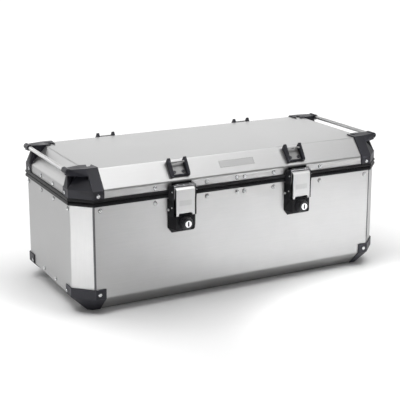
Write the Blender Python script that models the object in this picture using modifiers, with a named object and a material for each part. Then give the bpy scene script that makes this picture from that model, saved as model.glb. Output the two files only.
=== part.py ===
"""Aluminium motorcycle top case: folded sheet body and lid, plastic corners, two keyed draw latches.

Metres, +Z up. The front of the case faces -Y and its length runs along X. The origin is the
centre of the floor's underside.
"""

import math

import bmesh
import bpy
from mathutils import Matrix, Vector

# --- Driving dimensions -------------------------------------------------------------------------

HALF_LENGTH = 0.430
HALF_DEPTH = 0.195
CORNER_CUT = 0.0435            # plan size of the 45 degree corner posts
SHEET = 0.0015
SEAM = 0.0015                  # between the front or rear panel and a corner post
FOLD_RADIUS = 0.003
GAP = 0.0003                   # kept between pieces that touch

FLOOR_CHAMFER = 0.041          # height and inset of the slope under the front, rear and ends
BODY_TOP = 0.2657              # top edge of the folded body sheets
BODY_RIM = (0.2660, 0.2742)
GASKET = (0.2732, 0.2757)
LID_RIM = (0.2760, 0.2834)
LID_BOTTOM = 0.2837
LID_FOLD = 0.3030              # where the lid's upright flange turns into its slope
LID_TOP = 0.3470
LID_INSET_FRONT = 0.0376
LID_INSET_END = 0.0411
LID_INSET_CORNER = 0.0390
RIM_PROUD = 0.0050
RIM_INNER = -0.0030

CAP_SKIN = 0.0028              # plastic over the sheet at the corners
CAP_FRONT_X = 0.3605           # where the corner caps end along the front and rear
CAP_END_Y = 0.1190             # where they end along the two ends
CAP_LOW_TOP = 0.0640

BAR_X = 0.4300
BAR_Z = 0.3450
BAR_RADIUS = 0.00475
BAR_HALF = 0.1420
BOSS_RADIUS = 0.0072

LATCH_X = 0.1625
TIE_FRONT_X = 0.1625
TIE_REAR_X = 0.2060
TIE_ALONG = 0.0320             # up the lid's slope from the fold to the middle of a tie-down

LEVER_AXIS = (-0.2105, 0.2855)     # Y and Z of the lever's pivot
HOOK_AXIS = (-0.2105, 0.2655)      # Y and Z of the hook's pivot on the lever
LEVER_HALF = 0.0245
CATCH_HALF = 0.0255
LEVER_FACE_Y = -0.2180
LEVER_SHEET = 0.0015
LEVER_LOW = 0.2225
LEVER_FOLD_Z = 0.2860
LEVER_TIP = (-0.2100, 0.2930)
LEVER_PIN_RADIUS = 0.0014
HOOK_PIN_RADIUS = 0.0012
RUNNING = 0.00006              # radial clearance of a pin in its bore

HOUSING_FRONT_Y = -0.2175
HOUSING_BACK_HALF = 0.0375
LOCK_Z = 0.2045
KNOB_RADIUS = 0.0165
PLUG_RADIUS = 0.0083
PLUG_FRONT_Y = -0.2330

HINGE_X = 0.2400
HINGE_AXIS = (0.2075, 0.2751)      # Y and Z
HINGE_PIN_RADIUS = 0.0020
KNUCKLE_RADIUS = 0.0045
HINGE_HALF = 0.0300

FINE = 32
COARSE = 20

SIDES = {"left": -1, "right": 1}
FACES = {"front": -1, "rear": 1}

# --- Scene set-up -------------------------------------------------------------------------------

for leftover in list(bpy.data.objects):
    bpy.data.objects.remove(leftover, do_unlink=True)

PARTS = bpy.data.collections.new("top_case")
TOOLS = bpy.data.collections.new("cutters")
bpy.context.scene.collection.children.link(PARTS)
bpy.context.scene.collection.children.link(TOOLS)


def material(name, colour, metallic, roughness):
    made = bpy.data.materials.new(name)
    made.use_nodes = True
    shader = made.node_tree.nodes["Principled BSDF"]
    shader.inputs["Base Color"].default_value = (*colour, 1.0)
    shader.inputs["Metallic"].default_value = metallic
    shader.inputs["Roughness"].default_value = roughness
    return made


# --- Making meshes ------------------------------------------------------------------------------


def place(name, bm, looks=None):
    """Turns a bmesh into an object; looks is (colour, metallic, roughness)."""
    bmesh.ops.recalc_face_normals(bm, faces=bm.faces)
    mesh = bpy.data.meshes.new(name)
    bm.to_mesh(mesh)
    bm.free()
    made = bpy.data.objects.new(name, mesh)
    PARTS.objects.link(made)
    if looks:
        mesh.materials.append(material(name, *looks))
    return made


def box(name, low, high, looks=None):
    bm = bmesh.new()
    size = [h - l for l, h in zip(low, high)]
    middle = [(h + l) / 2 for l, h in zip(low, high)]
    bmesh.ops.create_cube(bm, size=1.0, matrix=Matrix.LocRotScale(middle, None, size))
    return place(name, bm, looks)


def cylinder(name, centre, radius, half, axis, looks=None, sides=FINE, end_radius=None):
    """A round bar about centre; axis is X, Y or Z and end_radius tapers its far end."""
    turn = {
        "X": Matrix.Rotation(math.pi / 2, 4, "Y"),
        "Y": Matrix.Rotation(-math.pi / 2, 4, "X"),
        "Z": Matrix.Identity(4),
    }[axis]
    bm = bmesh.new()
    bmesh.ops.create_cone(
        bm,
        cap_ends=True,
        segments=sides,
        radius1=radius,
        radius2=radius if end_radius is None else end_radius,
        depth=2 * half,
        matrix=Matrix.Translation(centre) @ turn,
    )
    made = place(name, bm, looks)
    made.data.shade_smooth()
    made.data.set_sharp_from_angle(angle=math.radians(40))
    return made


def prism(name, outline, axis, low, high, looks=None):
    """Extrudes an outline along an axis; its points are the other two coordinates in order."""
    place_point = {
        "X": lambda p, t: (t, p[0], p[1]),
        "Y": lambda p, t: (p[0], t, p[1]),
        "Z": lambda p, t: (p[0], p[1], t),
    }[axis]
    bm = bmesh.new()
    face = bm.faces.new([bm.verts.new(place_point(p, low)) for p in outline])
    swept = bmesh.ops.extrude_face_region(bm, geom=[face])
    new_points = [v for v in swept["geom"] if isinstance(v, bmesh.types.BMVert)]
    bmesh.ops.translate(bm, vec=place_point((0, 0), high - low), verts=new_points)
    return place(name, bm, looks)


def hull(name, points, looks=None):
    bm = bmesh.new()
    for point in points:
        bm.verts.new(point)
    bmesh.ops.convex_hull(bm, input=bm.verts)
    return place(name, bm, looks)


def octagon(half_x, half_y, cut, z):
    """A rectangle with its corners cut, anticlockwise from above."""
    corner = [
        (half_x, half_y - cut),
        (half_x - cut, half_y),
        (-half_x + cut, half_y),
        (-half_x, half_y - cut),
    ]
    return [Vector((x, y, z)) for x, y in corner + [(-x, -y) for x, y in corner]]


def case_outline(offset, z):
    """The body's plan, moved outward by offset at right angles to every side."""
    cut = CORNER_CUT + offset * (2 - math.sqrt(2))
    return octagon(HALF_LENGTH + offset, HALF_DEPTH + offset, cut, z)


def lid_top_outline(offset):
    """The lid's upper edge; offset moves all its faces outward."""
    half_x = HALF_LENGTH - LID_INSET_END
    half_y = HALF_DEPTH - LID_INSET_FRONT
    diagonal = HALF_LENGTH + HALF_DEPTH - CORNER_CUT - LID_INSET_CORNER * math.sqrt(2)
    cut = half_x + half_y - diagonal
    shift = offset * 0.62
    cut += shift * (2 - math.sqrt(2))
    return octagon(half_x + shift, half_y + shift, cut, LID_TOP + offset)


def bridge(bm, rings, closed=False):
    """Side faces between rings of points; closed joins the last ring to the first."""
    made = [[bm.verts.new(point) for point in ring] for ring in rings]
    count = len(made[0])
    steps = len(made) if closed else len(made) - 1
    for step in range(steps):
        first = made[step]
        second = made[(step + 1) % len(made)]
        for i in range(count):
            j = (i + 1) % count
            bm.faces.new((first[i], first[j], second[j], second[i]))
    return made


def stack(name, rings, looks=None):
    """A solid through a pile of rings, closed at both ends."""
    bm = bmesh.new()
    made = bridge(bm, rings)
    bm.faces.new(made[0])
    bm.faces.new(made[-1])
    return place(name, bm, looks)


def frame(name, profile, looks):
    """A closed frame round the case; the profile's points are (offset, z)."""
    bm = bmesh.new()
    bridge(bm, [case_outline(offset, z) for offset, z in profile], closed=True)
    return place(name, bm, looks)


def sheet(name, polygons, looks, fold=FOLD_RADIUS):
    """Folded sheet metal: outer faces, rounded at their folds, thickened inward."""
    bm = bmesh.new()
    for polygon in polygons:
        bm.faces.new([bm.verts.new(point) for point in polygon])
    bmesh.ops.remove_doubles(bm, verts=bm.verts, dist=1e-6)
    made = place(name, bm, looks)
    rounding = made.modifiers.new("folds", "BEVEL")
    rounding.width = fold
    rounding.segments = 2
    rounding.limit_method = "ANGLE"
    rounding.angle_limit = math.radians(20)
    thick = made.modifiers.new("sheet", "SOLIDIFY")
    thick.thickness = SHEET
    thick.offset = -1
    thick.use_even_offset = True
    return made


def combine(target, tool, operation):
    """Joins, cuts or trims target with tool, which is kept with the cutters."""
    PARTS.objects.unlink(tool)
    TOOLS.objects.link(tool)
    tool.hide_render = True
    tool.display_type = "WIRE"
    step = target.modifiers.new(tool.name, "BOOLEAN")
    step.operation = operation
    step.object = tool
    step.solver = "EXACT"


def move_origin(target, point):
    """Puts the object's origin at point and leaves its shape where it is."""
    target.data.transform(Matrix.Translation(-Vector(point)))
    target.location = point


def mirrored(points, side, face=1):
    return [Vector((x * side, y * face, z)) for x, y, z in points]


def arc(centre, radius, start, end, steps):
    """Points on a circle from one angle to another, in degrees."""
    angles = [math.radians(start + (end - start) * i / steps) for i in range(steps + 1)]
    return [(centre[0] + radius * math.cos(a), centre[1] + radius * math.sin(a)) for a in angles]


ALUMINIUM = ((0.74, 0.75, 0.76), 1.0, 0.38)
BRIGHT = ((0.80, 0.81, 0.82), 1.0, 0.28)
STEEL = ((0.62, 0.63, 0.64), 1.0, 0.32)
BLACK = ((0.030, 0.030, 0.036), 0.0, 0.45)
RUBBER = ((0.012, 0.012, 0.012), 0.0, 0.8)

# --- Body ---------------------------------------------------------------------------------------

FLOOR_X = HALF_LENGTH - FLOOR_CHAMFER
FLOOR_Y = HALF_DEPTH - FLOOR_CHAMFER
FRONT_X = HALF_LENGTH - CORNER_CUT
END_Y = HALF_DEPTH - CORNER_CUT
SLOPE_X = FLOOR_X - 0.012          # where the front and rear slopes end at the floor
SLOPE_Y = FLOOR_Y - 0.012          # where the end slopes end at the floor


def mitre(shell, side, face):
    """Trims a shell just inside the sloping face under one corner post."""
    corner = mirrored([(HALF_LENGTH, END_Y, FLOOR_CHAMFER)], side, face)[0]
    along = Vector((-side, face, 0)).normalized()
    across = (mirrored([(FLOOR_X, SLOPE_Y, 0)], side, face)[0] - corner).normalized()
    outward = along.cross(across).normalized()
    if outward.z > 0:
        outward = -outward
    points = []
    for depth in (-0.0008, 0.0200):
        for i in (-0.10, 0.15):
            for j in (-0.05, 0.10):
                points.append(corner + outward * depth + along * i + across * j)
    knife = hull(shell.name + "_mitre_" + ("front" if face < 0 else "rear") + str(side), points)
    combine(shell, knife, "DIFFERENCE")


def main_shell():
    """Front, floor and rear in one folded sheet."""
    front_x = FRONT_X - SEAM
    polygons = []
    for face in FACES.values():
        upper = [(-front_x, -HALF_DEPTH, BODY_TOP), (front_x, -HALF_DEPTH, BODY_TOP)]
        fold = [(front_x, -HALF_DEPTH, FLOOR_CHAMFER), (-front_x, -HALF_DEPTH, FLOOR_CHAMFER)]
        foot = [(SLOPE_X, -FLOOR_Y, 0), (-SLOPE_X, -FLOOR_Y, 0)]
        for polygon in (upper + fold, [fold[1], fold[0]] + foot):
            turned = mirrored(polygon, 1, -face)
            polygons.append(turned if face < 0 else turned[::-1])
    floor_x = FLOOR_X - 0.001
    floor = [(SLOPE_X, -FLOOR_Y, 0), (floor_x, -SLOPE_Y, 0), (floor_x, SLOPE_Y, 0), (SLOPE_X, FLOOR_Y, 0)]
    floor += [(-x, -y, z) for x, y, z in floor]
    polygons.append(floor)
    shell = sheet("main_shell", polygons, ALUMINIUM)
    for side in SIDES.values():
        for face in FACES.values():
            mitre(shell, side, face)
    return shell


def end_shell(side_name):
    """An end panel with both corner posts and the slope down to the floor."""
    side = SIDES[side_name]
    top = BODY_TOP
    low = FLOOR_CHAMFER
    panel = [(HALF_LENGTH, -END_Y, top), (HALF_LENGTH, END_Y, top)]
    panel += [(HALF_LENGTH, END_Y, low), (HALF_LENGTH, -END_Y, low)]
    floor_x = FLOOR_X + 0.0006
    slope = [panel[3], panel[2], (floor_x, SLOPE_Y, 0.0006), (floor_x, -SLOPE_Y, 0.0006)]
    post = [panel[1], (FRONT_X, HALF_DEPTH, top), (FRONT_X, HALF_DEPTH, low), panel[2]]
    other_post = [(x, -y, z) for x, y, z in post]
    polygons = [mirrored(p, side) for p in (panel, slope, post, other_post)]
    shell = sheet(side_name + "_end_shell", polygons, ALUMINIUM)
    for face in FACES.values():
        mitre(shell, side, face)
    return shell


def rims():
    """The two black frames where body and lid meet, with the seal between them."""
    groove = 0.0012
    low, high = BODY_RIM
    body = [
        (RIM_INNER, low),
        (RIM_PROUD - 0.0015, low),
        (RIM_PROUD, low + 0.0015),
        (RIM_PROUD, high - 0.0025),
        (RIM_PROUD - 0.0016, high),
        (RIM_INNER + 0.0062, high),
        (RIM_INNER + 0.0062, high - groove),
        (RIM_INNER + 0.0022, high - groove),
        (RIM_INNER + 0.0022, high),
        (RIM_INNER, high),
    ]
    frame("body_rim", body, BLACK)
    low, high = GASKET
    seal = [
        (RIM_INNER + 0.0026, low),
        (RIM_INNER + 0.0058, low),
        (RIM_INNER + 0.0058, high - 0.0006),
        (RIM_INNER + 0.0050, high),
        (RIM_INNER + 0.0034, high),
        (RIM_INNER + 0.0026, high - 0.0006),
    ]
    frame("rim_gasket", seal, RUBBER)
    low, high = LID_RIM
    lid = [
        (RIM_INNER, low),
        (RIM_PROUD - 0.0016, low),
        (RIM_PROUD, low + 0.0025),
        (RIM_PROUD, high - 0.0015),
        (RIM_PROUD - 0.0015, high),
        (RIM_INNER, high),
    ]
    frame("lid_rim", lid, BLACK)


def body_volume(name, offset):
    """The body's outer form, grown by offset."""
    foot_x = FLOOR_X + offset * 0.42
    foot_y = FLOOR_Y + offset * 0.42
    return stack(
        name,
        [
            octagon(foot_x, foot_y, 0.012, -offset if offset > GAP else -0.001),
            case_outline(offset, FLOOR_CHAMFER - offset * 0.42),
            case_outline(offset, CAP_LOW_TOP),
        ],
    )


def low_corner_cap(face_name, side_name):
    """Plastic bottom corner: two screw tabs, the corner band and the sloping foot."""
    side = SIDES[side_name]
    face = FACES[face_name]
    name = "bottom_cap_" + face_name + "_" + side_name
    foot_x = FLOOR_X + CAP_SKIN * 0.42
    foot_y = FLOOR_Y + CAP_SKIN * 0.42
    cap = stack(
        name,
        [
            octagon(foot_x, foot_y, 0.010, 0.0),
            case_outline(CAP_SKIN, FLOOR_CHAMFER),
            case_outline(CAP_SKIN, CAP_LOW_TOP),
        ],
        BLACK,
    )
    inner = stack(
        name + "_inside",
        [
            octagon(FLOOR_X - 0.0015, FLOOR_Y - 0.0015, 0.011, 0.0015),
            octagon(FLOOR_X - 0.0004, FLOOR_Y - 0.0004, 0.012, 0.0032),
            case_outline(GAP, FLOOR_CHAMFER + 0.0004),
            case_outline(GAP, CAP_LOW_TOP + 0.01),
        ],
    )
    region = [(CAP_FRONT_X, 0.30), (CAP_FRONT_X, 0.1440), (0.3700, CAP_END_Y)]
    region += [(0.60, CAP_END_Y), (0.60, 0.30)]
    keep = prism(name + "_keep", [(x * side, y * face) for x, y in region], "Z", -0.02, 0.10)
    combine(cap, keep, "INTERSECT")
    combine(cap, inner, "DIFFERENCE")
    sheets = body_volume(name + "_sheets", GAP)
    combine(cap, sheets, "DIFFERENCE")
    return cap


# --- Lid ----------------------------------------------------------------------------------------


def lid_shell():
    """The lid's sheet: upright flange, slope and flat top."""
    low = case_outline(0, LID_BOTTOM)
    fold = case_outline(0, LID_FOLD)
    top = lid_top_outline(0)
    polygons = [top]
    for i in range(8):
        j = (i + 1) % 8
        polygons.append([low[i], low[j], fold[j], fold[i]])
        polygons.append([fold[i], fold[j], top[j], top[i]])
    return sheet("lid_shell", polygons, ALUMINIUM, fold=0.0022)


# Convex pieces of a lid cap at the right rear; the other corners mirror them.
HORN_TOP = LID_TOP + CAP_SKIN + 0.0004
LID_CAP_FORMS = {
    "band": [
        (CAP_FRONT_X, 0.1600, HORN_TOP),
        (0.3890, 0.1600, HORN_TOP),
        (CAP_FRONT_X, 0.1985, LID_FOLD),
        (0.3885, 0.1985, LID_FOLD),
        (CAP_FRONT_X, 0.1480, HORN_TOP),
        (0.3860, 0.1480, HORN_TOP),
        (CAP_FRONT_X, 0.1850, LID_FOLD),
        (0.3880, 0.1850, LID_FOLD),
    ],
    "horn": [
        (0.3800, 0.1600, HORN_TOP),
        (0.3890, 0.1600, HORN_TOP),
        (0.4290, 0.1510, HORN_TOP),
        (0.4365, 0.1440, HORN_TOP - 0.0005),
        (0.4340, 0.1290, HORN_TOP - 0.0005),
        (0.3900, 0.1195, HORN_TOP),
        (0.3890, 0.1722, 0.3345),
        (0.4275, 0.1560, 0.3355),
        (0.4355, 0.1440, 0.3370),
        (0.4320, 0.1300, 0.3370),
        (0.4040, 0.1200, 0.3350),
        (0.3860, 0.1560, 0.3310),
    ],
    "wing": [
        (0.4100, 0.1200, 0.3370),
        (0.4240, 0.1230, 0.3370),
        (0.4255, 0.1330, 0.3370),
        (0.4170, 0.1330, 0.3370),
        (0.4310, 0.1200, 0.3050),
        (0.4328, 0.1250, 0.3035),
        (0.4326, 0.1500, 0.3045),
        (0.4260, 0.1515, 0.3060),
        (0.4000, 0.1300, 0.3300),
    ],
}


def lid_corner_cap(face_name, side_name):
    """Plastic lid corner with a forked tongue on the top and a horn that holds the end bar."""
    side = SIDES[side_name]
    face = FACES[face_name]
    name = "lid_cap_" + face_name + "_" + side_name
    cap = stack(
        name,
        [
            case_outline(CAP_SKIN, LID_BOTTOM),
            case_outline(CAP_SKIN, LID_FOLD + 0.0008),
            lid_top_outline(CAP_SKIN),
        ],
        BLACK,
    )
    region = [
        (CAP_FRONT_X, 0.30),
        (CAP_FRONT_X, 0.1460),
        (0.3630, 0.1232),
        (0.3720, 0.1400),
        (0.3800, 0.1400),
        (0.3750, 0.1215),
        (0.3895, CAP_END_Y),
        (0.60, CAP_END_Y),
        (0.60, 0.30),
    ]
    keep = prism(name + "_keep", [(x * side, y * face) for x, y in region], "Z", 0.20, 0.40)
    combine(cap, keep, "INTERSECT")
    for label, points in LID_CAP_FORMS.items():
        form = hull(name + "_" + label, mirrored(points, side, face))
        combine(cap, form, "UNION")
    boss = cylinder(
        name + "_boss", (BAR_X * side, 0.1385 * face, BAR_Z), BOSS_RADIUS, 0.0135, "Y", sides=24
    )
    combine(cap, boss, "UNION")
    inner = stack(
        name + "_inside",
        [
            case_outline(GAP, LID_BOTTOM - 0.01),
            case_outline(GAP, LID_FOLD + 0.0001),
            lid_top_outline(GAP),
        ],
    )
    combine(cap, inner, "DIFFERENCE")
    depth = BAR_HALF + 0.0005
    bore = cylinder(
        name + "_bore",
        (BAR_X * side, (depth + 0.05) / 2 * face, BAR_Z),
        BAR_RADIUS + GAP,
        (depth - 0.05) / 2,
        "Y",
        sides=24,
    )
    combine(cap, bore, "DIFFERENCE")
    return cap


def end_bar(side_name):
    """Round aluminium bar between the horns of the front and rear lid corners."""
    bar = cylinder(
        "end_bar_" + side_name, (BAR_X * SIDES[side_name], 0, BAR_Z), BAR_RADIUS, BAR_HALF, "Y", BRIGHT, 24
    )
    return bar


def slope_frame(face):
    """The lid slope's directions in Y and Z: up along it, and outward from it."""
    run = LID_INSET_FRONT
    rise = LID_TOP - LID_FOLD
    length = math.hypot(run, rise)
    along = Vector((-face * run / length, rise / length))
    outward = Vector((face * rise / length, run / length))
    return along, outward


def on_slope(face, along_distance, out_distance):
    """Y and Z of a point measured along and out from the lid's slope."""
    along, outward = slope_frame(face)
    start = Vector((face * HALF_DEPTH, LID_FOLD))
    point = start + along * along_distance + outward * out_distance
    return (point.x, point.y)


def tie_down(face_name, side_name):
    """A strap loop on the lid's slope: plastic cheeks and sill, steel plate and steel bar."""
    face = FACES[face_name]
    middle = (TIE_FRONT_X if face < 0 else TIE_REAR_X) * SIDES[side_name]
    tag = face_name + "_" + side_name
    half = 0.0250
    cheek = 0.0070
    low = TIE_ALONG - 0.0220
    high = TIE_ALONG + 0.0215
    profile = [
        (low, GAP),
        (low, 0.0065),
        (low + 0.0045, 0.0100),
        (TIE_ALONG + 0.0080, 0.0135),
        (high + 0.0010, 0.0150),
        (high + 0.0020, 0.0135),
        (high, 0.0060),
        (high - 0.0020, GAP),
    ]
    outline = [on_slope(face, a, o) for a, o in profile]
    bracket = prism("tie_bracket_" + tag, outline, "X", middle - half, middle - half + cheek, BLACK)
    other = prism("tie_cheek_" + tag, outline, "X", middle + half - cheek, middle + half)
    combine(bracket, other, "UNION")
    sill_foot = GAP + 0.0002
    sill_profile = [(low + 0.0004, sill_foot), (low + 0.0004, 0.0042), (low + 0.0035, 0.0050)]
    sill_profile += [(low + 0.0060, 0.0030), (low + 0.0060, sill_foot)]
    sill_outline = [on_slope(face, a, o) for a, o in sill_profile]
    sill = prism("tie_sill_" + tag, sill_outline, "X", middle - half + 0.001, middle + half - 0.001)
    combine(bracket, sill, "UNION")
    bar_point = on_slope(face, TIE_ALONG + 0.0120, 0.0108)
    bar_radius = 0.0024
    bore_radius = bar_radius + GAP
    bore = cylinder("tie_bore_" + tag, (middle, *bar_point), bore_radius, half - 0.0015, "X", sides=COARSE)
    combine(bracket, bore, "DIFFERENCE")
    cylinder("tie_bar_" + tag, (middle, *bar_point), bar_radius, half - 0.0020, "X", STEEL, COARSE)
    inner = half - cheek - GAP
    plate_top = high - 0.0040
    plate_profile = [(low + 0.0064, GAP), (low + 0.0064, 0.0018), (plate_top, 0.0018), (plate_top, GAP)]
    plate_outline = [on_slope(face, a, o) for a, o in plate_profile]
    prism("tie_plate_" + tag, plate_outline, "X", middle - inner, middle + inner, STEEL)


# --- Hinges -------------------------------------------------------------------------------------


def hinge_leaf(name, middle, up, knuckles, looks):
    """One leaf: a plate on the sheet, a cranked neck and its knuckles; up is 1 on the lid."""
    axis_y, axis_z = HINGE_AXIS
    inner = HALF_DEPTH + GAP
    thick = 0.0020
    plate_high = 0.0265 if up > 0 else 0.0450
    neck = [
        (inner, 0.0165),
        (inner, plate_high),
        (inner + thick, plate_high),
        (inner + thick, 0.0175),
        (axis_y - 0.0005, 0.0065),
        (axis_y + 0.0010, 0.0035),
        (axis_y - 0.0030, 0.0030),
    ]
    outline = [(y, axis_z + up * z) for y, z in neck]
    leaf = None
    for low, high in knuckles:
        arm = prism(name + "_arm", outline, "X", middle + low, middle + high)
        middle_x = middle + (low + high) / 2
        barrel_middle = (middle_x, axis_y, axis_z)
        barrel = cylinder(name + "_barrel", barrel_middle, KNUCKLE_RADIUS, (high - low) / 2, "X", sides=24)
        if leaf is None:
            leaf = arm
            leaf.name = name
            leaf.data.materials.append(material(name, *looks))
        else:
            combine(leaf, arm, "UNION")
        combine(leaf, barrel, "UNION")
    z_pair = sorted((axis_z + up * 0.0180, axis_z + up * plate_high))
    plate = box(
        name + "_plate",
        (middle - HINGE_HALF, inner, z_pair[0]),
        (middle + HINGE_HALF, inner + thick, z_pair[1]),
    )
    combine(leaf, plate, "UNION")
    bore = cylinder(
        name + "_bore", (middle, axis_y, axis_z), HINGE_PIN_RADIUS + RUNNING, HINGE_HALF + 0.01, "X", sides=24
    )
    combine(leaf, bore, "DIFFERENCE")
    return leaf


def hinge(side_name):
    """A two-leaf hinge on the rear rim, with its pin."""
    middle = HINGE_X * SIDES[side_name]
    third = 0.0100
    slack = 0.0003
    outer = [(-HINGE_HALF, -third - slack), (third + slack, HINGE_HALF)]
    hinge_leaf("hinge_body_leaf_" + side_name, middle, -1, outer, STEEL)
    hinge_leaf("hinge_lid_leaf_" + side_name, middle, 1, [(-third, third)], STEEL)
    pin_half = HINGE_HALF + 0.001
    cylinder("hinge_pin_" + side_name, (middle, *HINGE_AXIS), HINGE_PIN_RADIUS, pin_half, "X", STEEL, 24)


# --- Latches ------------------------------------------------------------------------------------


def latch_housing(side_name):
    """Black housing: lock body below, cheeks beside the lever and the lever's two ears."""
    middle = LATCH_X * SIDES[side_name]
    back = -HALF_DEPTH - GAP
    name = "latch_housing_" + side_name
    wide = HOUSING_BACK_HALF
    lock_top = 0.2215
    rear_ring = [
        (-wide, 0.1910), (-0.0265, 0.1768), (0.0265, 0.1768),
        (wide, 0.1910), (wide, lock_top), (-wide, lock_top),
    ]
    front_ring = [
        (-LEVER_HALF, 0.1880), (-0.0220, 0.1855), (0.0220, 0.1855),
        (LEVER_HALF, 0.1880), (LEVER_HALF, lock_top), (-LEVER_HALF, lock_top),
    ]
    rings = [
        [Vector((middle + x, back, z)) for x, z in rear_ring],
        [Vector((middle + x, HOUSING_FRONT_Y, z)) for x, z in front_ring],
    ]
    housing = stack(name, rings, BLACK)

    # the lock's square face rises into the notch of the lever, with a boss at each upper corner
    face_outline = [(-0.0160, 0.2000), (0.0160, 0.2000), (0.0160, 0.2262), (0.0115, 0.2262), (0.0100, 0.2250)]
    face_outline += [(-0.0100, 0.2250), (-0.0115, 0.2262), (-0.0160, 0.2262)]
    face = prism(name + "_face", [(middle + x, z) for x, z in face_outline], "Y", HOUSING_FRONT_Y, -0.2110)
    combine(housing, face, "UNION")

    # back plate between the cheeks, below the rim
    plate_half = wide - 0.001
    plate_low = (middle - plate_half, back - 0.0025, 0.2205)
    plate = box(name + "_plate", plate_low, (middle + plate_half, back, 0.2622))
    combine(housing, plate, "UNION")

    rim_front = -HALF_DEPTH - RIM_PROUD - 2 * GAP
    inner = LEVER_HALF + 0.0039
    for direction in (-1, 1):
        tag = "_a" if direction < 0 else "_b"
        low_cheek = [(inner, back), (wide, back), (inner + 0.0030, -0.2125), (inner, -0.2125)]
        cheek_outline = [(middle + direction * x, y) for x, y in low_cheek]
        cheek = prism(name + "_cheek" + tag, cheek_outline, "Z", 0.2205, 0.2624)
        combine(housing, cheek, "UNION")
        upper = [
            Vector((middle + direction * x, y, z))
            for x, y, z in (
                (inner, rim_front, 0.2600), (wide, rim_front, 0.2600),
                (inner, rim_front, 0.2965), (inner + 0.0020, rim_front, 0.2965),
                (inner + 0.0065, rim_front, 0.2935), (wide, rim_front, 0.2850),
                (inner, -0.2125, 0.2600), (inner + 0.0030, -0.2125, 0.2600),
                (inner, -0.2150, 0.2700), (inner + 0.0026, -0.2150, 0.2700),
                (inner, -0.2150, 0.2860), (inner + 0.0024, -0.2150, 0.2860),
                (inner, -0.2110, 0.2940), (inner + 0.0020, -0.2110, 0.2940),
            )
        ]
        upper_cheek = hull(name + "_upper" + tag, upper)
        combine(housing, upper_cheek, "UNION")
        ear_outline = [
            (back - 0.0010, 0.2400),
            (-0.2050, 0.2400),
            (-0.2083, 0.2460),
            (-0.2083, 0.2790),
        ]
        ear_outline += arc(LEVER_AXIS, 0.0034, 225, -50, 10)
        ear_outline += [(rim_front, 0.2790), (rim_front, 0.2600), (back - 0.0010, 0.2600)]
        low, high = sorted((middle + direction * 0.0196, middle + direction * 0.0226))
        ear = prism(name + "_ear" + tag, ear_outline, "X", low, high)
        combine(housing, ear, "UNION")

    pocket_end = HOUSING_FRONT_Y + 0.0130
    pocket_low = (middle - 0.0205, pocket_end, 0.1900)
    pocket = box(name + "_pocket", pocket_low, (middle + 0.0300, back + 0.001, 0.2195))
    combine(housing, pocket, "DIFFERENCE")
    slot = box(name + "_slot", (middle - 0.0175, pocket_end, 0.2190), (middle + 0.0275, back + 0.001, 0.2395))
    combine(housing, slot, "DIFFERENCE")
    for label, centre, radius, half in (
        ("_knob_bore", (middle, -0.2100, LOCK_Z), 0.0100 + GAP, 0.0100),
        ("_pivot_bore", (middle, *LEVER_AXIS), LEVER_PIN_RADIUS + RUNNING, 0.0250),
    ):
        axis = "Y" if label == "_knob_bore" else "X"
        bore = cylinder(name + label, centre, radius, half, axis, sides=FINE if axis == "Y" else COARSE)
        combine(housing, bore, "DIFFERENCE")
    return housing


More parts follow.
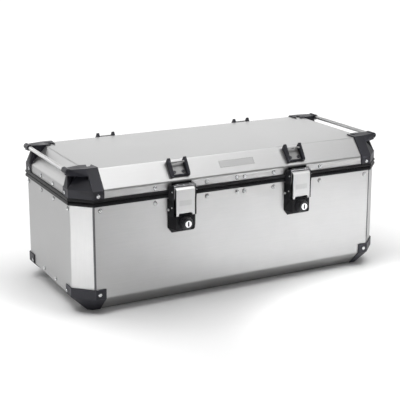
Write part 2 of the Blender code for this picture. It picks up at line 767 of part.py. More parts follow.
def latch_lever(side_name):
    """Bent sheet lever: face, leaning top, side flanges and the tongue that the lock holds."""
    middle = LATCH_X * SIDES[side_name]
    name = "latch_lever_" + side_name
    inner_y = LEVER_FACE_Y + LEVER_SHEET
    tip_y, tip_z = LEVER_TIP
    lean = math.hypot(tip_y - LEVER_FACE_Y, tip_z - LEVER_FOLD_Z)
    normal = ((tip_z - LEVER_FOLD_Z) / lean, -(tip_y - LEVER_FACE_Y) / lean)
    tip_inner = (tip_y + normal[0] * LEVER_SHEET, tip_z + normal[1] * LEVER_SHEET)
    outline = [
        (LEVER_FACE_Y, LEVER_LOW),
        (LEVER_FACE_Y, LEVER_FOLD_Z),
        (tip_y, tip_z),
        tip_inner,
        (inner_y, LEVER_FOLD_Z - 0.0006),
        (inner_y, LEVER_LOW),
    ]
    lever = prism(name, outline, "X", middle - LEVER_HALF, middle + LEVER_HALF, BRIGHT)
    pivot_y = LEVER_AXIS[0]
    flange_outline = [
        (inner_y - 0.0004, 0.2260),
        (-0.2095, 0.2290),
        (-0.2095, 0.2570),
        (pivot_y + 0.0032, 0.2610),
        (pivot_y + 0.0032, 0.2872),
        (pivot_y + 0.0015, 0.2900),
        (pivot_y - 0.0008, 0.2910),
        (inner_y - 0.0004, 0.2862),
    ]
    for direction in (-1, 1):
        edges = (middle + direction * LEVER_HALF, middle + direction * (LEVER_HALF - LEVER_SHEET))
        flange = prism(name + ("_a" if direction < 0 else "_b"), flange_outline, "X", min(edges), max(edges))
        combine(lever, flange, "UNION")
    tongue_low = (middle - 0.0160, inner_y - 0.0005, 0.2318)
    tongue = box(name + "_tongue", tongue_low, (middle + 0.0160, -0.1978, 0.2335))
    combine(lever, tongue, "UNION")
    window = box(name + "_window", (middle - 0.0137, -0.2032, 0.2300), (middle + 0.0137, -0.1995, 0.2350))
    combine(lever, window, "DIFFERENCE")
    notch_outline = [
        (-0.0188, 0.2200), (0.0188, 0.2200), (0.0188, 0.2240), (0.0174, 0.2280),
        (0.0150, 0.2290), (-0.0150, 0.2290), (-0.0174, 0.2280), (-0.0188, 0.2240),
    ]
    notch = prism(name + "_notch", [(middle + x, z) for x, z in notch_outline], "Y", -0.2200, -0.2160)
    combine(lever, notch, "DIFFERENCE")
    bore_half = LEVER_HALF + 0.01
    bores = (("_pivot", LEVER_AXIS, LEVER_PIN_RADIUS), ("_link", HOOK_AXIS, HOOK_PIN_RADIUS))
    for label, centre, radius in bores:
        bore = cylinder(name + label, (middle, *centre), radius + RUNNING, bore_half, "X", sides=COARSE)
        combine(lever, bore, "DIFFERENCE")
    move_origin(lever, (middle, *LEVER_AXIS))
    pins = (("lever_pin_", LEVER_AXIS, LEVER_PIN_RADIUS, 0.0255), ("hook_pin_", HOOK_AXIS, HOOK_PIN_RADIUS, 0.0279))
    for prefix, centre, radius, half in pins:
        pin = cylinder(prefix + side_name, (middle, *centre), radius, half, "X", STEEL, COARSE)
        move_origin(pin, (middle, *LEVER_AXIS))


def latch_hook(side_name):
    """Steel yoke: two arms outside the lever's flanges and a claw over the lid's catch."""
    middle = LATCH_X * SIDES[side_name]
    name = "latch_hook_" + side_name
    arm_in = LEVER_HALF + 0.0014
    arm_out = LEVER_HALF + 0.0033
    top = 0.2972
    pivot_y, pivot_z = HOOK_AXIS
    arm_outline = arc(HOOK_AXIS, 0.0026, 180, 360, 8)
    arm_outline += [(pivot_y + 0.0026, top), (pivot_y - 0.0026, top)]
    claw = box(name, (middle - arm_out, pivot_y - 0.0026, 0.2942), (middle + arm_out, -0.2040, top), STEEL)
    finger = box(name + "_finger", (middle - 0.0180, -0.2050, 0.2942), (middle + 0.0180, -0.1978, top))
    combine(claw, finger, "UNION")
    for direction in (-1, 1):
        edges = (middle + direction * arm_in, middle + direction * arm_out)
        arm = prism(name + ("_a" if direction < 0 else "_b"), arm_outline, "X", min(edges), max(edges))
        combine(claw, arm, "UNION")
    bore_radius = HOOK_PIN_RADIUS + RUNNING
    bore = cylinder(name + "_bore", (middle, pivot_y, pivot_z), bore_radius, 0.04, "X", sides=COARSE)
    combine(claw, bore, "DIFFERENCE")
    move_origin(claw, (middle, pivot_y, pivot_z))


def lid_catch(side_name):
    """Catch screwed to the lid's flange; the claw bears on its lip."""
    middle = LATCH_X * SIDES[side_name]
    back = -HALF_DEPTH - GAP
    outline = [
        (back, 0.2860),
        (back - 0.0020, 0.2860),
        (back - 0.0020, 0.2905),
        (-0.2022, 0.2905),
        (-0.2022, 0.2936),
        (back - 0.0020, 0.2936),
        (back - 0.0020, 0.2985),
        (back - 0.0045, 0.2990),
        (back - 0.0045, 0.3008),
        (back - 0.0020, 0.3022),
        (back, 0.3022),
    ]
    prism("lid_catch_" + side_name, outline, "X", middle - CATCH_HALF, middle + CATCH_HALF, BLACK)


def lock(side_name):
    """Turning knob with its cam behind the housing's front wall, and the key cylinder in it."""
    middle = LATCH_X * SIDES[side_name]
    centre = Vector((middle, 0, LOCK_Z))
    name = "lock_knob_" + side_name
    base_y = HOUSING_FRONT_Y - GAP

    def disc(label, radius, near, far, end_radius=None, sides=FINE, looks=None):
        half = (near - far) / 2
        point = (middle, (near + far) / 2, LOCK_Z)
        return cylinder(label, point, end_radius or radius, half, "Y", looks, sides, radius)

    knob = disc(name, KNOB_RADIUS, base_y, base_y - 0.0100, 0.0152, 40, BLACK)
    for label, radius, near, far in (
        ("_front", 0.0118, base_y - 0.0090, PLUG_FRONT_Y + 0.0004),
        ("_stem", 0.0100, -0.2026, base_y - 0.0010),
    ):
        combine(knob, disc(name + label, radius, near, far), "UNION")
    grip_depth = (base_y - 0.0040, base_y - 0.0140)
    for turn in range(4):
        angle = math.radians(45 + 90 * turn)
        offset = Vector((math.cos(angle), 0, math.sin(angle))) * (KNOB_RADIUS + 0.0030)
        spot = (middle + offset.x, sum(grip_depth) / 2, LOCK_Z + offset.z)
        grip = cylinder(name + "_grip" + str(turn), spot, 0.0058, 0.0050, "Y", sides=COARSE)
        combine(knob, grip, "DIFFERENCE")
    plug_bore = disc(name + "_plug_bore", PLUG_RADIUS + RUNNING, -0.2120, -0.2400)
    combine(knob, plug_bore, "DIFFERENCE")
    tail_bore = disc(name + "_tail_bore", 0.0030, -0.2000, -0.2150)
    combine(knob, tail_bore, "DIFFERENCE")
    move_origin(knob, centre + Vector((0, base_y, 0)))

    cam_near = -0.2000
    cam_far = -0.2022
    cam_outline = arc((0, 0), 0.0075, 180, 360, 12) + [(0.0050, 0.0080), (0.0030, 0.0120), (0.0030, 0.0286)]
    cam_outline += [(-0.0030, 0.0286), (-0.0030, 0.0120), (-0.0050, 0.0080)]
    cam_ring = [(middle + x, LOCK_Z + z) for x, z in cam_outline]
    cam = prism("lock_cam_" + side_name, cam_ring, "Y", cam_far, cam_near, STEEL)
    tail_hole = disc("cam_hole_" + side_name, 0.0018, -0.1900, -0.2100)
    combine(cam, tail_hole, "DIFFERENCE")
    move_origin(cam, centre + Vector((0, cam_far, 0)))

    plug_name = "key_cylinder_" + side_name
    plug = disc(plug_name, PLUG_RADIUS, -0.2123, PLUG_FRONT_Y, None, FINE, BRIGHT)
    tail = disc(plug_name + "_tail", 0.0015, -0.1985, -0.2130)
    combine(plug, tail, "UNION")
    keyway = box(
        plug_name + "_keyway",
        (middle - 0.0020, PLUG_FRONT_Y - 0.0010, LOCK_Z - 0.0057),
        (middle + 0.0020, PLUG_FRONT_Y + 0.0160, LOCK_Z + 0.0057),
    )
    combine(plug, keyway, "DIFFERENCE")
    move_origin(plug, centre + Vector((0, PLUG_FRONT_Y, 0)))


# --- Assembly -----------------------------------------------------------------------------------

main_shell()
rims()
lid_shell()
for side_label in SIDES:
    end_shell(side_label)
    end_bar(side_label)
    hinge(side_label)
    latch_housing(side_label)
    latch_lever(side_label)
    latch_hook(side_label)
    lid_catch(side_label)
    lock(side_label)
    for face_label in FACES:
        low_corner_cap(face_label, side_label)
        lid_corner_cap(face_label, side_label)
        tie_down(face_label, side_label)
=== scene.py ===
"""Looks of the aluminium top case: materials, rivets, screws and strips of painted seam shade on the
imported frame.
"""

import math

import bmesh
import bpy
from mathutils import Matrix, Vector


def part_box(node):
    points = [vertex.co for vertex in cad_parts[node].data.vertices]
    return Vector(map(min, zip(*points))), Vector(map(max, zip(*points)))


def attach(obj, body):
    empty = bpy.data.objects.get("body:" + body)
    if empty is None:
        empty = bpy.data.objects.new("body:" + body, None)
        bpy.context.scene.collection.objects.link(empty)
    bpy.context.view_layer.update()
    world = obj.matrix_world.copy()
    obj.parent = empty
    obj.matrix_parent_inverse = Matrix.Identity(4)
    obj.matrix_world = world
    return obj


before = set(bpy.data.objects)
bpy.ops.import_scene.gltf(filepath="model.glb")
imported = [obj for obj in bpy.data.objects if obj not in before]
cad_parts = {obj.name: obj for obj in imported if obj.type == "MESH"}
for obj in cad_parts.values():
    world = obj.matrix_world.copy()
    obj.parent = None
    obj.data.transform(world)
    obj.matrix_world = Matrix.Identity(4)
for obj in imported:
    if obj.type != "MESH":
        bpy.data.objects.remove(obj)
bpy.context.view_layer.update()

SIDES = {"left": -1, "right": 1}
FACES = {"front": -1, "rear": 1}
MM = 0.001

# --- Places -------------------------------------------------------------------------------------

PANEL_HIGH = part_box("main_shell")[1]
END_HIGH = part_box("right_end_shell")[1]
LID_LOW, LID_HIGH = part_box("lid_shell")
HALF_DEPTH = PANEL_HIGH.y
HALF_LENGTH = END_HIGH.x
BODY_TOP = PANEL_HIGH.z
LID_BOTTOM = LID_LOW.z
LID_TOP = LID_HIGH.z
CORNER_CUT = 43.5 * MM            # from an end wall's plane to the corner post's fold on the front
SHEET = 1.5 * MM
LID_FOLD = 303 * MM               # height of the fold between the lid's flange and its slope
LID_INSET = 37.6 * MM             # how far the slope leans in on its way up

# --- Shader building blocks ---------------------------------------------------------------------

NOISE_RANGE = (0.3, 0.7)          # where nearly all values of a noise texture lie


class Nodes:
    """A short way to write a material's node tree."""

    def __init__(self, name):
        self.material = bpy.data.materials.new(name)
        self.material.use_nodes = True
        self.tree = self.material.node_tree
        self.shader = self.tree.nodes["Principled BSDF"]
        self.place = self.tree.nodes.new("ShaderNodeTexCoord").outputs["Object"]

    def link(self, source, target):
        self.tree.links.new(source, target)

    def feed(self, value, name):
        """Links a value to one of the shader's inputs."""
        self.link(value, self.shader.inputs[name])

    def set(self, **values):
        for name, value in values.items():
            self.shader.inputs[name.replace("_", " ")].default_value = value

    def scaled(self, x, y, z):
        """Object coordinates stretched along the axes."""
        node = self.tree.nodes.new("ShaderNodeMapping")
        node.inputs["Scale"].default_value = (x, y, z)
        self.link(self.place, node.inputs["Vector"])
        return node.outputs["Vector"]

    def noise(self, cells, detail=4.0, roughness=0.55):
        """Noise with so many cells in a metre: one number, or one for each axis."""
        vector = self.scaled(*cells) if isinstance(cells, tuple) else self.scaled(cells, cells, cells)
        node = self.tree.nodes.new("ShaderNodeTexNoise")
        node.inputs["Scale"].default_value = 1.0
        node.inputs["Detail"].default_value = detail
        node.inputs["Roughness"].default_value = roughness
        self.link(vector, node.inputs["Vector"])
        return node.outputs["Fac"]

    def remap(self, value, low, high, out_low, out_high):
        node = self.tree.nodes.new("ShaderNodeMapRange")
        limits = {"From Min": low, "From Max": high, "To Min": out_low, "To Max": out_high}
        for name, number in limits.items():
            node.inputs[name].default_value = number
        self.link(value, node.inputs["Value"])
        return node.outputs["Result"]

    def ramp(self, value, stops):
        """A colour ramp; stops are (position, colour)."""
        node = self.tree.nodes.new("ShaderNodeValToRGB")
        points = node.color_ramp.elements
        while len(points) < len(stops):
            points.new(0.5)
        for point, (position, colour) in zip(points, stops):
            point.position = position
            point.color = (*colour, 1.0)
        self.link(value, node.inputs["Fac"])
        return node.outputs["Color"]

    def math(self, operation, first, second):
        node = self.tree.nodes.new("ShaderNodeMath")
        node.operation = operation
        for socket, value in zip(node.inputs, (first, second)):
            if isinstance(value, (int, float)):
                socket.default_value = value
            else:
                self.link(value, socket)
        return node.outputs["Value"]

    def blend(self, first, first_share, second, second_share):
        """The sum of two values, each times its share."""
        part = self.math("MULTIPLY", first, first_share)
        rest = self.math("MULTIPLY", second, second_share)
        return self.math("ADD", part, rest)

    def bump(self, height, distance, strength):
        node = self.tree.nodes.new("ShaderNodeBump")
        node.inputs["Distance"].default_value = distance
        node.inputs["Strength"].default_value = strength
        self.link(height, node.inputs["Height"])
        self.feed(node.outputs["Normal"], "Normal")

    def edge_wear(self, low=0.52, high=0.58):
        """One on convex edges and nought elsewhere."""
        pointiness = self.tree.nodes.new("ShaderNodeNewGeometry").outputs["Pointiness"]
        return self.remap(pointiness, low, high, 0.0, 1.0)


# --- Materials ----------------------------------------------------------------------------------


def sheet_aluminium(name, grain_cells, base, roughness=0.40, grain_depth=0.03 * MM):
    """Anodised sheet: a fine rolled grain along one axis, faint smudges and fine specks."""
    nodes = Nodes(name)
    nodes.set(Metallic=1.0)
    grain = nodes.noise(grain_cells, 3.0, 0.6)
    smudges = nodes.noise(9, 5.0, 0.6)
    specks = nodes.noise(2600, 1.0)
    dark = [c * 0.93 for c in base]
    light = [min(1.0, c * 1.05) for c in base]
    shade = nodes.blend(smudges, 0.55, grain, 0.45)
    nodes.feed(nodes.ramp(shade, [(0.32, dark), (0.68, light)]), "Base Color")
    mixed = nodes.blend(grain, 0.5, smudges, 0.5)
    nodes.feed(nodes.remap(mixed, *NOISE_RANGE, roughness - 0.05, roughness + 0.06), "Roughness")
    height = nodes.math("ADD", grain, nodes.math("MULTIPLY", specks, 0.5))
    nodes.bump(height, grain_depth, 0.55)
    return nodes.material


def moulded_plastic(name, base=(0.012, 0.012, 0.017), roughness=0.46, grain_depth=0.06 * MM, shine=0.32):
    """Black moulded plastic: fine spark-eroded grain, patchy sheen and rubbed edges."""
    nodes = Nodes(name)
    nodes.set(Specular_IOR_Level=shine)
    grain = nodes.noise(1500, 2.0)
    patches = nodes.noise(40)
    wear = nodes.edge_wear()
    rubbed = [c * 2.1 + 0.012 for c in base]
    tone = nodes.blend(wear, 0.45, patches, 0.35)
    nodes.feed(nodes.ramp(tone, [(0.12, base), (0.75, rubbed)]), "Base Color")
    gloss = nodes.remap(patches, *NOISE_RANGE, roughness - 0.05, roughness + 0.07)
    polish = nodes.math("MULTIPLY", wear, 0.06)
    nodes.feed(nodes.math("SUBTRACT", gloss, polish), "Roughness")
    nodes.bump(grain, grain_depth, 0.6)
    return nodes.material


def painted_frame(name):
    """Satin black powder coat with a slight orange peel."""
    nodes = Nodes(name)
    peel = nodes.noise(700, 2.0)
    patches = nodes.noise(25)
    wear = nodes.edge_wear(0.53, 0.62)
    tone = nodes.blend(patches, 0.4, wear, 0.6)
    nodes.set(Specular_IOR_Level=0.14)
    stops = [(0.15, (0.004, 0.004, 0.005)), (0.9, (0.030, 0.030, 0.033))]
    nodes.feed(nodes.ramp(tone, stops), "Base Color")
    nodes.feed(nodes.remap(patches, *NOISE_RANGE, 0.30, 0.42), "Roughness")
    nodes.bump(peel, 0.04 * MM, 0.4)
    return nodes.material


def zinc_steel(name, base=(0.56, 0.57, 0.58), roughness=0.30, grain_cells=(900, 90, 900)):
    """Plated metal: clouded plating, duller in some of the clouds, with a drawn grain."""
    nodes = Nodes(name)
    nodes.set(Metallic=1.0)
    grain = nodes.noise(grain_cells, 3.0)
    clouds = nodes.noise(160, 5.0)
    tone = nodes.blend(grain, 0.4, clouds, 0.6)
    dark = [c * 0.80 for c in base]
    light = [min(1, c * 1.12) for c in base]
    nodes.feed(nodes.ramp(tone, [(0.3, dark), (0.7, light)]), "Base Color")
    nodes.feed(nodes.remap(clouds, *NOISE_RANGE, roughness - 0.06, roughness + 0.12), "Roughness")
    nodes.bump(grain, 0.02 * MM, 0.5)
    return nodes.material


def rubber(name):
    """Dull black rubber with a faint bloom; it also paints the shade under the rivets' flanges."""
    nodes = Nodes(name)
    bloom = nodes.noise(120, 5.0)
    stops = [(0.35, (0.002, 0.002, 0.002)), (0.75, (0.008, 0.008, 0.008))]
    nodes.set(Specular_IOR_Level=0.12)
    nodes.feed(nodes.ramp(bloom, stops), "Base Color")
    nodes.feed(nodes.remap(bloom, *NOISE_RANGE, 0.62, 0.82), "Roughness")
    nodes.bump(nodes.noise(1800), 0.05 * MM, 0.5)
    return nodes.material


PANEL_GREY = (0.49, 0.49, 0.49)
ALONG_X = (18, 900, 900)
ALONG_Z = (900, 900, 18)

MATERIALS = {
    "panel": sheet_aluminium("anodised_panel", ALONG_X, PANEL_GREY),
    "end_panel": sheet_aluminium("anodised_end_panel", ALONG_Z, PANEL_GREY),
    "lid": sheet_aluminium("anodised_lid", ALONG_X, PANEL_GREY),
    "bar": sheet_aluminium("satin_bar", (60, 12, 60), (0.62, 0.62, 0.62), 0.34, 0.004 * MM),
    "lever": sheet_aluminium("satin_lever", ALONG_Z, (0.50, 0.50, 0.50), 0.34, 0.01 * MM),
    "lever_pad": sheet_aluminium("etched_pad", ALONG_X, (0.46, 0.46, 0.46), 0.46, 0.02 * MM),
    "badge": sheet_aluminium("etched_badge", ALONG_X, (0.42, 0.42, 0.42), 0.46),
    "plastic": moulded_plastic("moulded_plastic"),
    "knob_plastic": moulded_plastic("knob_plastic", (0.014, 0.014, 0.016), 0.34, 0.04 * MM, 0.4),
    "frame": painted_frame("coated_frame"),
    "steel": zinc_steel("zinc_steel"),
    "rivet": zinc_steel("rivet_aluminium", (0.74, 0.75, 0.76), 0.26, (500, 500, 500)),
    "chrome": zinc_steel("lock_chrome", (0.78, 0.78, 0.79), 0.16, (300, 300, 300)),
    "dark_steel": zinc_steel("blackened_steel", (0.10, 0.10, 0.11), 0.34),
    # a darker copy of the plated steel: painted shade of the hooks, which sit in shadow under the lid's edge
    "hook_steel_painted_shade": zinc_steel("hook_steel_painted_shade", (0.27, 0.27, 0.28), 0.36),
    "keyway": moulded_plastic("keyway_shadow", (0.006, 0.006, 0.006), 0.7),
    # dark grey plastic for the strips of painted shade along the seams by the corner posts
    "seam_shade": moulded_plastic("seam_shade_strip", (0.050, 0.050, 0.054), 0.40),
    "housing_plastic": moulded_plastic("housing_plastic", (0.002, 0.002, 0.003), 0.42, 0.04 * MM, 0.12),
    "plate_steel": zinc_steel("plate_steel", (0.30, 0.30, 0.30), 0.44),
    "rubber": rubber("seal_rubber"),
}

# --- Finishing the frame's own pieces -------------------------------------------------------------

WELD_REACH = 0.01 * MM
FLAT_ANGLE = math.radians(0.8)    # faces nearer to level than this become one
EDGE_ANGLE = math.radians(32)     # edges sharper than this are rounded


def finish_node(name, looks, edge):
    """Gives a node its material, and rounds its sharp edges where edge is above nought."""
    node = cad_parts[name]
    node.data.materials.clear()
    node.data.materials.append(MATERIALS[looks])
    if edge:
        weld = node.modifiers.new("weld", "WELD")
        weld.merge_threshold = WELD_REACH
        flatten = node.modifiers.new("flatten", "DECIMATE")
        flatten.decimate_type = "DISSOLVE"
        flatten.angle_limit = FLAT_ANGLE
        rounding = node.modifiers.new("rounding", "BEVEL")
        rounding.width = edge
        rounding.segments = 2
        rounding.limit_method = "ANGLE"
        rounding.angle_limit = EDGE_ANGLE
        rounding.harden_normals = False
        smooth = node.modifiers.new("smooth", "WEIGHTED_NORMAL")
        smooth.keep_sharp = True


# each node's material and the size of its rounded edges, by name or by the start of the name
NODE_LOOKS = {
    "main_shell": ("panel", 0),
    "left_end_shell": ("end_panel", 0),
    "right_end_shell": ("end_panel", 0),
    "body_rim": ("frame", 0.6 * MM),
    "lid_rim": ("frame", 0.6 * MM),
    "rim_gasket": ("rubber", 0),
    "lid_shell": ("lid", 0),
}
PREFIX_LOOKS = {
    "bottom_cap_": ("plastic", 0.9 * MM),
    "lid_cap_": ("plastic", 0.9 * MM),
    "latch_housing_": ("housing_plastic", 0.6 * MM),
    "latch_lever_": ("lever", 0.5 * MM),
    "latch_hook_": ("hook_steel_painted_shade", 0.4 * MM),
    "lid_catch_": ("housing_plastic", 0.4 * MM),
    "lock_knob_": ("knob_plastic", 0.5 * MM),
    "lock_cam_": ("steel", 0.2 * MM),
    "key_cylinder_": ("chrome", 0.4 * MM),
    "tie_bracket_": ("plastic", 0.6 * MM),
    "tie_bar_": ("plate_steel", 0),
    "tie_plate_": ("plate_steel", 0.2 * MM),
    "end_bar_": ("bar", 0.6 * MM),
    "hinge_": ("dark_steel", 0.3 * MM),
    "lever_pin_": ("steel", 0.2 * MM),
    "hook_pin_": ("steel", 0.2 * MM),
}


def finish_frame():
    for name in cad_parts:
        looks = NODE_LOOKS.get(name)
        if looks is None:
            looks = next(found for prefix, found in PREFIX_LOOKS.items() if name.startswith(prefix))
        finish_node(name, *looks)


# --- Making small pieces ------------------------------------------------------------------------


def piece(name, bm, looks, body, smooth=40):
    """Makes an object of a bmesh and lets it ride on a body."""
    bmesh.ops.recalc_face_normals(bm, faces=bm.faces)
    mesh = bpy.data.meshes.new(name)
    bm.to_mesh(mesh)
    bm.free()
    mesh.materials.append(MATERIALS[looks])
    mesh.shade_smooth()
    mesh.set_sharp_from_angle(angle=math.radians(smooth))
    made = bpy.data.objects.new(name, mesh)
    bpy.context.scene.collection.objects.link(made)
    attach(made, body)


def facing(point, outward, upward=(0, 0, 1)):
    """A matrix that stands a piece on a face: its own +Z looks outward."""
    z = Vector(outward).normalized()
    x = Vector(upward).cross(z)
    x.normalize()
    y = z.cross(x)
    return Matrix.Translation(point) @ Matrix((x, y, z)).transposed().to_4x4()


def polar(radius, angle, height):
    """A point at a distance and an angle round the Z axis."""
    return Vector((radius * math.cos(angle), radius * math.sin(angle), height))


def whole_turn(sides):
    return [2 * math.pi * i / sides for i in range(sides)]


def bridge(bm, rings):
    """Faces between neighbouring rings of vertices; a ring of one vertex closes as a fan."""
    for lower, upper in zip(rings, rings[1:]):
        sides = max(len(lower), len(upper))
        for i in range(sides):
            j = (i + 1) % sides
            if len(lower) == 1:
                bm.faces.new((lower[0], upper[i], upper[j]))
            elif len(upper) == 1:
                bm.faces.new((lower[i], lower[j], upper[0]))
            else:
                bm.faces.new((lower[i], lower[j], upper[j], upper[i]))


def turned(bm, profile, matrix, sides=24):
    """A turned shape round the matrix's Z; profile points are (radius, height)."""
    rings = []
    for radius, height in profile:
        angles = whole_turn(sides) if radius else [0]
        rings.append([bm.verts.new(matrix @ polar(radius, angle, height)) for angle in angles])
    bridge(bm, rings)


def extruded(bm, ring, axis, low, high):
    """A solid of one closed outline; ring holds the two coordinates across the axis."""
    ends = []
    for level in (low, high):
        row = []
        for first, second in ring:
            point = [first, second]
            point.insert(axis, level)
            row.append(bm.verts.new(point))
        ends.append(row)
    bm.faces.new(ends[0])
    bm.faces.new(ends[1])
    bridge(bm, ends)


def plaque(bm, matrix, half_width, half_height, thick, corner, rim=0.0):
    """A flat plate with rounded corners on the matrix's XY plane; with a rim, its field is sunk."""

    def ring(shrink, z):
        radius = max(corner - shrink, corner * 0.4)
        points = []
        for quarter, (sx, sy) in enumerate(((1, 1), (-1, 1), (-1, -1), (1, -1))):
            middle = Vector((sx * (half_width - shrink - radius), sy * (half_height - shrink - radius), 0))
            for step in range(6):
                angle = math.radians(90 * quarter + 18 * step)
                points.append(bm.verts.new(matrix @ (middle + polar(radius, angle, z))))
        return points

    bevel = thick * 0.4
    rings = [ring(0, -0.1 * MM), ring(0, thick - bevel), ring(bevel, thick)]
    if rim:
        rings += [ring(bevel + rim, thick), ring(bevel + rim * 1.25, thick * 0.45)]
    bridge(bm, rings)
    bm.faces.new(rings[-1])
    bm.faces.new(rings[0])


# --- Rivets and screws --------------------------------------------------------------------------

# (radius, height) from the flange's foot to the middle of the dimple, as shares of the radius
DOME = (
    (1, 0),
    (1, 0.10),
    (0.95, 0.22),
    (0.82, 0.40),
    (0.58, 0.54),
    (0.34, 0.60),
    (0.26, 0.57),
    (0.20, 0.44),
    (0, 0.42),
)
RIVET_RADIUS = 4.7 * MM
RIVET_LIFT = 0.5 * MM             # how far the ring of painted shade holds a head off the sheet
# (radius, height) of a bulb, inwards from the sheet's inner face
BULB = ((3.0 * MM, 0), (3.3 * MM, 0.9 * MM), (2.9 * MM, 2.2 * MM), (1.6 * MM, 2.9 * MM), (0, 2.9 * MM))
# the near-black ring under each rivet head: painted shade of the gap under its flange
RIVET_SHADE_RING = (
    (RIVET_RADIUS * 1.13, -0.1 * MM),
    (RIVET_RADIUS * 1.13, 0.3 * MM),
    (RIVET_RADIUS * 1.05, 0.6 * MM),
    (RIVET_RADIUS * 0.8, 0.6 * MM),
)


def dome_rivet(bm, matrix, radius):
    """A blind rivet: thin flange, low dome and the dimple where its stem broke off."""
    turned(bm, [(radius * r, radius * h) for r, h in DOME], matrix)


def socket_screw(bm, matrix, radius, height):
    """A round-headed screw with a hexagon socket."""
    inner = radius * 0.50

    def ring(size, z, hexagon=False):
        points = []
        for angle in whole_turn(24):
            reach = size
            if hexagon:
                reach = size * math.cos(math.pi / 6) / math.cos(angle % (math.pi / 3) - math.pi / 6)
            points.append(bm.verts.new(matrix @ polar(reach, angle, z)))
        return points

    rings = [
        ring(radius, 0),
        ring(radius, height * 0.45),
        ring(radius * 0.92, height * 0.75),
        ring(radius * 0.74, height),
        ring(inner * 1.12, height),
        ring(inner, height * 0.9, True),
        ring(inner, height * 0.1, True),
    ]
    bridge(bm, rings)
    bm.faces.new(rings[-1])


def dished_washer(bm, matrix, radius):
    """The dished ring moulded round a screw in the plastic."""
    profile = [
        (radius, -0.4 * MM),
        (radius, 0.3 * MM),
        (radius * 0.94, 0.8 * MM),
        (radius * 0.84, 0.8 * MM),
        (radius * 0.74, 0.1 * MM),
        (radius * 0.60, -0.1 * MM),
    ]
    turned(bm, profile, matrix, 32)


def rivet_row(name, places, outward, body):
    """Rivets in a row, each on a near-black ring that paints the shade under its flange, with its bulb on
    the inside of the sheet.
    """
    heads = bmesh.new()
    shade_rings = bmesh.new()
    for place in places:
        seat = facing(place, outward)
        turned(shade_rings, RIVET_SHADE_RING, seat)
        dome_rivet(heads, seat @ Matrix.Translation((0, 0, RIVET_LIFT)), RIVET_RADIUS)
        turned(heads, BULB, seat @ Matrix.Translation((0, 0, -SHEET)) @ Matrix.Rotation(math.pi, 4, "X"), 16)
    piece(name, heads, "rivet", body, 60)
    # the rings of painted shade take the black rubber
    piece(name + "_seals", shade_rings, "rubber", body, 60)


# distances from the middle; each is used on both sides of it
BODY_RIVETS_X = (10.5 * MM, 93.5 * MM, 231.5 * MM, 371 * MM)
LID_RIVETS_X = {
    "front": (10.8 * MM, 94 * MM, 231.5 * MM),
    "rear": (10.8 * MM, 94 * MM, 155 * MM, 320 * MM),
}
END_TOP_RIVETS_Y = (44.5 * MM, 141 * MM)
END_LOW_RIVETS_Y = (43 * MM,)
END_LID_RIVETS_Y = (44 * MM,)
BODY_RIVET_Z = BODY_TOP - 10.2 * MM
LID_RIVET_Z = LID_BOTTOM + 8.6 * MM
END_LOW_RIVET_Z = 51.5 * MM


def both(values):
    return [sign * value for sign in (-1, 1) for value in values]


def rivets():
    for label, face in FACES.items():
        y = face * HALF_DEPTH
        body_row = [(x, y, BODY_RIVET_Z) for x in both(BODY_RIVETS_X)]
        lid_row = [(x, y, LID_RIVET_Z) for x in both(LID_RIVETS_X[label])]
        rivet_row("rivets_body_" + label, body_row, (0, face, 0), "case")
        rivet_row("rivets_lid_" + label, lid_row, (0, face, 0), "lid")
    for label, side in SIDES.items():
        x = side * HALF_LENGTH
        top = [(x, y, BODY_RIVET_Z) for y in both(END_TOP_RIVETS_Y)]
        low = [(x, y, END_LOW_RIVET_Z) for y in both(END_LOW_RIVETS_Y)]
        lid_row = [(x, y, LID_RIVET_Z) for y in both(END_LID_RIVETS_Y)]
        rivet_row("rivets_body_" + label, top + low, (side, 0, 0), "case")
        rivet_row("rivets_lid_" + label, lid_row, (side, 0, 0), "lid")


CAP_PROUD = 2.8 * MM              # how far a corner cap's face stands off the sheet
CAP_SCREW_RADIUS = 4.4 * MM
CAP_SCREW_HEIGHT = 1.2 * MM
# body, then the x and z of the screw on the front or rear, and the y and z of the one on the end
CAP_SCREWS = {
    "bottom": ("case", 376.5 * MM, 51.7 * MM, 125 * MM, 48.5 * MM),
    "lid": ("lid", 375.5 * MM, 290.5 * MM, 129 * MM, 291.5 * MM),
}


def cap_screws():
    """Two screws in each corner cap, each in a dished seat."""
    for kind, (body, front_x, front_z, end_y, end_z) in CAP_SCREWS.items():
        for face_label, face in FACES.items():
            for side_label, side in SIDES.items():
                tag = "_".join((kind, face_label, side_label))
                seats = [
                    facing((side * front_x, face * (HALF_DEPTH + CAP_PROUD), front_z), (0, face, 0)),
                    facing((side * (HALF_LENGTH + CAP_PROUD), face * end_y, end_z), (side, 0, 0)),
                ]
                screws = bmesh.new()
                rings = bmesh.new()
                for seat in seats:
                    socket_screw(screws, seat, CAP_SCREW_RADIUS, CAP_SCREW_HEIGHT)
                    dished_washer(rings, seat, CAP_SCREW_RADIUS * 1.42)
                piece("cap_screws_" + tag, screws, "rivet", body)
                piece("cap_seats_" + tag, rings, "plastic", body)


# --- Painted seam shade and badge ---------------------------------------------------------------

SHADE_STRIP_BOTTOM = 63.6 * MM           # just inside the bottom caps' upper edge
SHADE_STRIP_OVER = 0.6 * MM              # how far a strip stands off the panel
SHADE_STRIP_BACK = 2.3 * MM              # how far it follows the corner post round the fold


